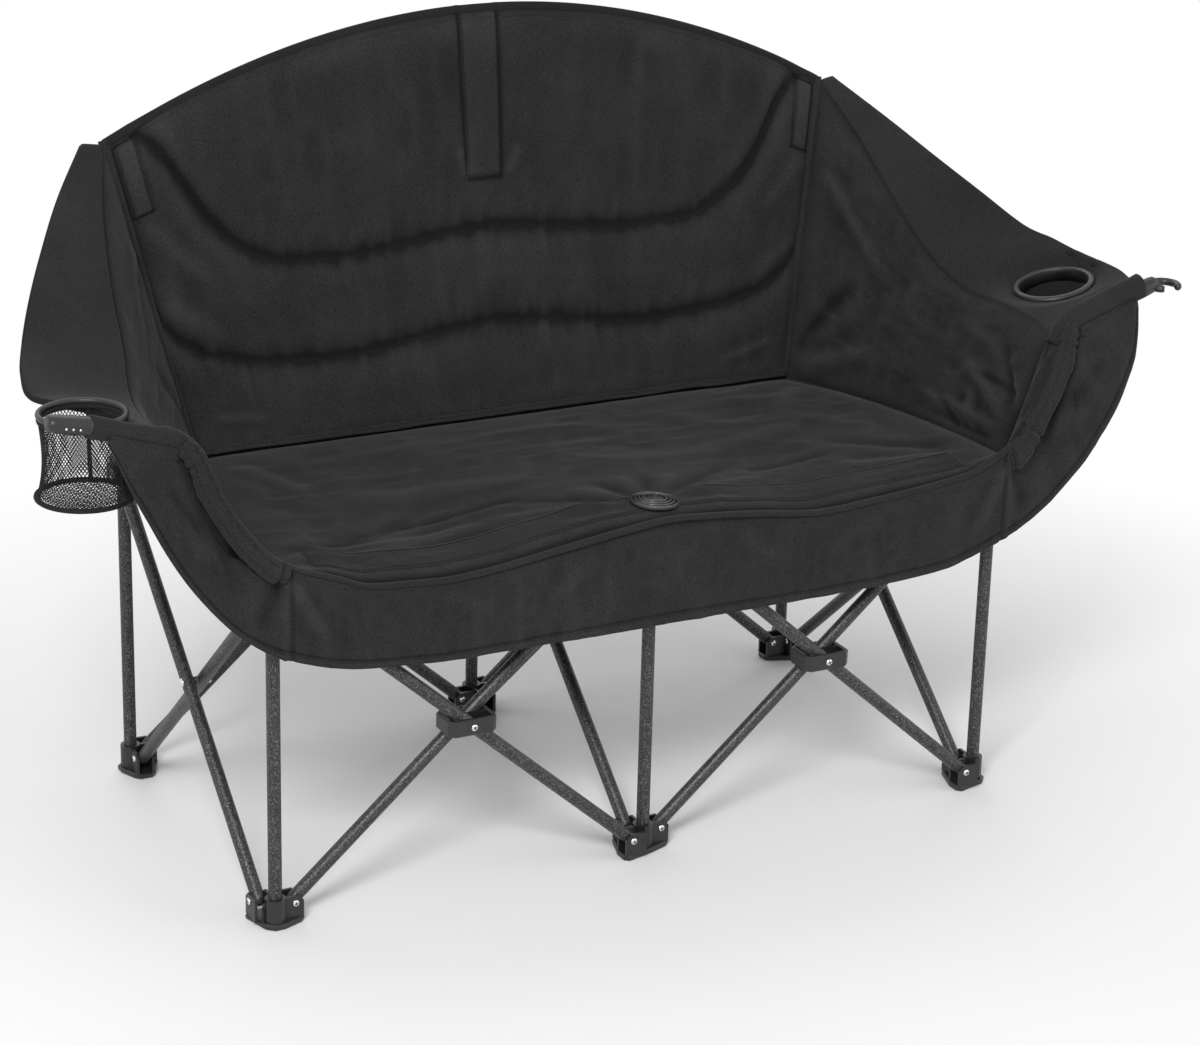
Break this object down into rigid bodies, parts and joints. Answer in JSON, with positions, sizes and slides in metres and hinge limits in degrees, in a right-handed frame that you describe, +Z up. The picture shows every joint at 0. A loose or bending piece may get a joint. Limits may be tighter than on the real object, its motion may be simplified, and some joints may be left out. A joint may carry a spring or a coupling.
{
  "type": "folding camping loveseat",
  "caption": "Padded two-person camping seat on a folding frame of crossed round tubes, with wing armrests, a mesh cup holder, a bottle ring and a stemmed-glass holder.",
  "frame": {"origin": "centre of the front middle foot's base, on the floor", "axes": "+Z up, +X across the seat towards the side of the bottle ring, +Y from the front to the back"},
  "size_m": [1.4755, 0.5429, 0.948],
  "materials": {
    "tube": "dark grey hammertone paint on steel tube",
    "bracket": "black moulded plastic, slightly satin",
    "cloth": "black woven cloth, padded and quilted",
    "mesh": "black net cloth"
  },
  "bodies": {
    "front_middle_base": {"foot_front_middle": "bracket", "post_front_middle": "tube"},
    "front_middle_top": {"top_bracket_front_middle": "bracket", "top_tube_front_middle": "tube", "seat_pad": "cloth", "seat_cap": "bracket", "side_pad_left": "cloth", "side_pad_right": "cloth", "armrest_left": "cloth", "armrest_right": "cloth", "front_flap": "cloth"},
    "front_left_base": {"foot_front_left": "bracket", "post_front_left": "tube"},
    "front_left_top": {"top_bracket_front_left": "bracket", "top_tube_front_left": "tube"},
    "front_right_base": {"foot_front_right": "bracket", "post_front_right": "tube"},
    "front_right_top": {"top_bracket_front_right": "bracket", "top_tube_front_right": "tube"},
    "rear_middle_base": {"foot_rear_middle": "bracket", "pole_rear_middle": "tube", "pole_cap_rear_middle": "bracket", "back_pad": "cloth"},
    "rear_middle_slide": {"slide_bracket_rear_middle": "bracket"},
    "rear_left_base": {"foot_rear_left": "bracket", "pole_rear_left": "tube", "pole_cap_rear_left": "bracket"},
    "rear_left_slide": {"slide_bracket_rear_left": "bracket"},
    "rear_right_base": {"foot_rear_right": "bracket", "pole_rear_right": "tube", "pole_cap_rear_right": "bracket"},
    "rear_right_slide": {"slide_bracket_rear_right": "bracket"},
    "front_left_a": {"bar_front_left_a": "tube"},
    "front_left_b": {"bar_front_left_b": "tube"},
    "front_right_a": {"bar_front_right_a": "tube"},
    "front_right_b": {"bar_front_right_b": "tube"},
    "rear_left_a": {"bar_rear_left_a": "tube"},
    "rear_left_b": {"bar_rear_left_b": "tube"},
    "rear_right_a": {"bar_rear_right_a": "tube"},
    "rear_right_b": {"bar_rear_right_b": "tube"},
    "side_left_c": {"bar_side_left_c": "tube"},
    "side_left_d": {"bar_side_left_d": "tube"},
    "side_middle_c": {"bar_side_middle_c": "tube"},
    "side_middle_d": {"bar_side_middle_d": "tube"},
    "side_right_c": {"bar_side_right_c": "tube"},
    "side_right_d": {"bar_side_right_d": "tube"},
    "front_left_hub": {"hub_front_left": "bracket"},
    "front_right_hub": {"hub_front_right": "bracket"},
    "rear_left_hub": {"hub_rear_left": "bracket"},
    "rear_right_hub": {"hub_rear_right": "bracket"},
    "left_arm": {"arm_tube_left": "tube", "arm_sleeve_left": "cloth", "cup_holder_clamp": "bracket", "cup_basket": "mesh"},
    "right_arm": {"arm_tube_right": "tube", "arm_sleeve_right": "cloth", "glass_holder": "bracket", "bottle_ring": "bracket", "bottle_pocket": "cloth"}
  },
  "joints": [
    {"name": "fold", "type": "hinge", "parent": "front_middle_base", "child": "front_left_b", "pos_m": [-0.024, -0.011, 0.025], "axis": [0, 1, 0], "range_deg": [0, 44.62], "deforming": ["seat_pad", "back_pad", "side_pad_left", "side_pad_right", "armrest_left", "armrest_right", "front_flap"]},
    {"name": "cross_front_left", "type": "hinge", "parent": "front_left_b", "child": "front_left_a", "pos_m": [-0.24, 0, 0.214], "axis": [0, 1, 0], "range_deg": [-89.24, 0.01]},
    {"name": "block_front_left", "type": "hinge", "parent": "front_left_b", "child": "front_left_hub", "pos_m": [-0.24, 0, 0.214], "axis": [0, 1, 0], "range_deg": [-44.62, 0.01]},
    {"name": "foot_pivot_front_left", "type": "hinge", "parent": "front_left_a", "child": "front_left_base", "pos_m": [-0.456, 0.008, 0.025], "axis": [0, 1, 0], "range_deg": [-0.01, 44.62]},
    {"name": "top_pivot_front_left", "type": "hinge", "parent": "front_left_b", "child": "front_left_top", "pos_m": [-0.456, -0.011, 0.403], "axis": [0, 1, 0], "range_deg": [-44.62, 0.01]},
    {"name": "top_pivot_front_middle", "type": "hinge", "parent": "front_left_a", "child": "front_middle_top", "pos_m": [-0.024, 0.008, 0.403], "axis": [0, 1, 0], "range_deg": [-0.01, 44.62]},
    {"name": "foot_pivot_front_middle", "type": "hinge", "parent": "front_middle_base", "child": "front_right_a", "pos_m": [0.024, 0.008, 0.025], "axis": [0, 1, 0], "range_deg": [-44.62, 0.01]},
    {"name": "cross_front_right", "type": "hinge", "parent": "front_right_a", "child": "front_right_b", "pos_m": [0.24, 0, 0.214], "axis": [0, 1, 0], "range_deg": [-0.01, 89.24]},
    {"name": "block_front_right", "type": "hinge", "parent": "front_right_a", "child": "front_right_hub", "pos_m": [0.24, 0, 0.214], "axis": [0, 1, 0], "range_deg": [-0.01, 44.62]},
    {"name": "foot_pivot_front_right", "type": "hinge", "parent": "front_right_b", "child": "front_right_base", "pos_m": [0.456, -0.011, 0.025], "axis": [0, 1, 0], "range_deg": [-44.62, 0.01]},
    {"name": "top_pivot_front_right", "type": "hinge", "parent": "front_right_a", "child": "front_right_top", "pos_m": [0.456, 0.008, 0.403], "axis": [0, 1, 0], "range_deg": [-0.01, 44.62]},
    {"name": "side_pivot_middle", "type": "hinge", "parent": "front_middle_base", "child": "side_middle_c", "pos_m": [-0.011, 0.024, 0.025], "axis": [1, 0, 0], "range_deg": [-0.01, 44.62]},
    {"name": "cross_side_middle", "type": "hinge", "parent": "side_middle_c", "child": "side_middle_d", "pos_m": [0, 0.24, 0.214], "axis": [1, 0, 0], "range_deg": [-89.24, 0.01]},
    {"name": "foot_pivot_rear_middle", "type": "hinge", "parent": "side_middle_d", "child": "rear_middle_base", "pos_m": [0.008, 0.456, 0.025], "axis": [1, 0, 0], "range_deg": [-0.01, 44.62]},
    {"name": "top_pivot_rear_middle", "type": "hinge", "parent": "side_middle_c", "child": "rear_middle_slide", "pos_m": [-0.011, 0.456, 0.403], "axis": [1, 0, 0], "range_deg": [-44.62, 0.01]},
    {"name": "bar_pivot_rear_left", "type": "hinge", "parent": "rear_middle_base", "child": "rear_left_b", "pos_m": [-0.024, 0.469, 0.025], "axis": [0, 1, 0], "range_deg": [-0.01, 44.62]},
    {"name": "cross_rear_left", "type": "hinge", "parent": "rear_left_b", "child": "rear_left_a", "pos_m": [-0.24, 0.48, 0.214], "axis": [0, 1, 0], "range_deg": [-89.24, 0.01]},
    {"name": "block_rear_left", "type": "hinge", "parent": "rear_left_b", "child": "rear_left_hub", "pos_m": [-0.24, 0.48, 0.214], "axis": [0, 1, 0], "range_deg": [-44.62, 0.01]},
    {"name": "foot_pivot_rear_left", "type": "hinge", "parent": "rear_left_a", "child": "rear_left_base", "pos_m": [-0.456, 0.488, 0.025], "axis": [0, 1, 0], "range_deg": [-0.01, 44.62]},
    {"name": "top_pivot_rear_left", "type": "hinge", "parent": "rear_left_b", "child": "rear_left_slide", "pos_m": [-0.456, 0.469, 0.403], "axis": [0, 1, 0], "range_deg": [-44.62, 0.01]},
    {"name": "bar_pivot_rear_right", "type": "hinge", "parent": "rear_middle_base", "child": "rear_right_a", "pos_m": [0.024, 0.488, 0.025], "axis": [0, 1, 0], "range_deg": [-44.62, 0.01]},
    {"name": "cross_rear_right", "type": "hinge", "parent": "rear_right_a", "child": "rear_right_b", "pos_m": [0.24, 0.48, 0.214], "axis": [0, 1, 0], "range_deg": [-0.01, 89.24]},
    {"name": "block_rear_right", "type": "hinge", "parent": "rear_right_a", "child": "rear_right_hub", "pos_m": [0.24, 0.48, 0.214], "axis": [0, 1, 0], "range_deg": [-0.01, 44.62]},
    {"name": "foot_pivot_rear_right", "type": "hinge", "parent": "rear_right_b", "child": "rear_right_base", "pos_m": [0.456, 0.469, 0.025], "axis": [0, 1, 0], "range_deg": [-44.62, 0.01]},
    {"name": "top_pivot_rear_right", "type": "hinge", "parent": "rear_right_a", "child": "rear_right_slide", "pos_m": [0.456, 0.488, 0.403], "axis": [0, 1, 0], "range_deg": [-0.01, 44.62]},
    {"name": "side_pivot_left", "type": "hinge", "parent": "front_left_base", "child": "side_left_c", "pos_m": [-0.491, 0.024, 0.025], "axis": [1, 0, 0], "range_deg": [-0.01, 44.62]},
    {"name": "cross_side_left", "type": "hinge", "parent": "side_left_c", "child": "side_left_d", "pos_m": [-0.48, 0.24, 0.214], "axis": [1, 0, 0], "range_deg": [-89.24, 0.01]},
    {"name": "side_pivot_right", "type": "hinge", "parent": "front_right_base", "child": "side_right_c", "pos_m": [0.469, 0.024, 0.025], "axis": [1, 0, 0], "range_deg": [-0.01, 44.62]},
    {"name": "cross_side_right", "type": "hinge", "parent": "side_right_c", "child": "side_right_d", "pos_m": [0.48, 0.24, 0.214], "axis": [1, 0, 0], "range_deg": [-89.24, 0.01]},
    {"name": "arm_pivot_left", "type": "hinge", "parent": "front_left_top", "child": "left_arm", "pos_m": [-0.512, 0, 0.403], "axis": [0, 1, 0], "range_deg": [-0.01, 40.01]},
    {"name": "arm_pivot_right", "type": "hinge", "parent": "front_right_top", "child": "right_arm", "pos_m": [0.512, 0, 0.403], "axis": [0, 1, 0], "range_deg": [-40.01, 0.01]}
  ],
  "couplings": [
    {"joint": "cross_front_left", "follows": "fold", "ratio": -2},
    {"joint": "block_front_left", "follows": "fold", "ratio": -1},
    {"joint": "foot_pivot_front_left", "follows": "fold", "ratio": 1},
    {"joint": "top_pivot_front_left", "follows": "fold", "ratio": -1},
    {"joint": "top_pivot_front_middle", "follows": "fold", "ratio": 1},
    {"joint": "foot_pivot_front_middle", "follows": "fold", "ratio": -1},
    {"joint": "cross_front_right", "follows": "fold", "ratio": 2},
    {"joint": "block_front_right", "follows": "fold", "ratio": 1},
    {"joint": "foot_pivot_front_right", "follows": "fold", "ratio": -1},
    {"joint": "top_pivot_front_right", "follows": "fold", "ratio": 1},
    {"joint": "side_pivot_middle", "follows": "fold", "ratio": 1},
    {"joint": "cross_side_middle", "follows": "fold", "ratio": -2},
    {"joint": "foot_pivot_rear_middle", "follows": "fold", "ratio": 1},
    {"joint": "top_pivot_rear_middle", "follows": "fold", "ratio": -1},
    {"joint": "bar_pivot_rear_left", "follows": "fold", "ratio": 1},
    {"joint": "cross_rear_left", "follows": "fold", "ratio": -2},
    {"joint": "block_rear_left", "follows": "fold", "ratio": -1},
    {"joint": "foot_pivot_rear_left", "follows": "fold", "ratio": 1},
    {"joint": "top_pivot_rear_left", "follows": "fold", "ratio": -1},
    {"joint": "bar_pivot_rear_right", "follows": "fold", "ratio": -1},
    {"joint": "cross_rear_right", "follows": "fold", "ratio": 2},
    {"joint": "block_rear_right", "follows": "fold", "ratio": 1},
    {"joint": "foot_pivot_rear_right", "follows": "fold", "ratio": -1},
    {"joint": "top_pivot_rear_right", "follows": "fold", "ratio": 1},
    {"joint": "side_pivot_left", "follows": "fold", "ratio": 1},
    {"joint": "cross_side_left", "follows": "fold", "ratio": -2},
    {"joint": "side_pivot_right", "follows": "fold", "ratio": 1},
    {"joint": "cross_side_right", "follows": "fold", "ratio": -2},
    {"joint": "arm_pivot_left", "follows": "fold", "ratio": 0.8965},
    {"joint": "arm_pivot_right", "follows": "fold", "ratio": -0.8965}
  ]
}
